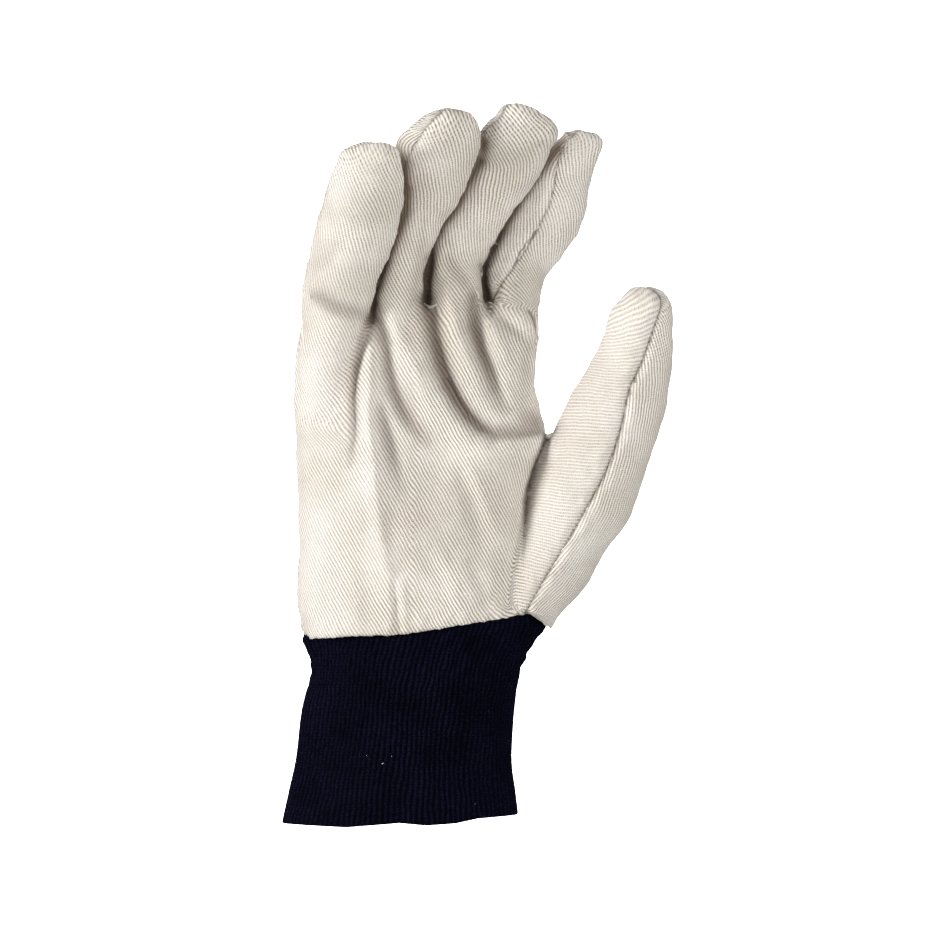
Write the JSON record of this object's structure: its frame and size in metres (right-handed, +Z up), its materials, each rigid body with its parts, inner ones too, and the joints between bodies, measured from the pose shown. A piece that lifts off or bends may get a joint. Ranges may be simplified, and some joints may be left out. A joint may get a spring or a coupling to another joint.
{
  "type": "cotton work glove",
  "caption": "Right-hand cotton drill work glove with a curved palm, loosely bent fingers, a wing thumb and a ribbed knit wrist.",
  "frame": {"origin": "middle of the cuff's mouth, where the wrist goes in", "axes": "+Z up along the forearm to the fingers, -Y out of the palm, +X towards the thumb"},
  "size_m": [0.1411, 0.0771, 0.2605],
  "materials": {
    "palm_canvas": "unbleached cotton drill, cream with fine beige diagonal lines, matt",
    "back_canvas": "unbleached cotton drill, cream with fine beige diagonal lines, matt",
    "rib_knit": "very dark navy ribbed cotton knit, matt, a little fuzzy"
  },
  "bodies": {
    "root": {"palm_panel": "palm_canvas", "back_panel": "back_canvas", "knit_cuff": "rib_knit"}
  },
  "joints": []
}
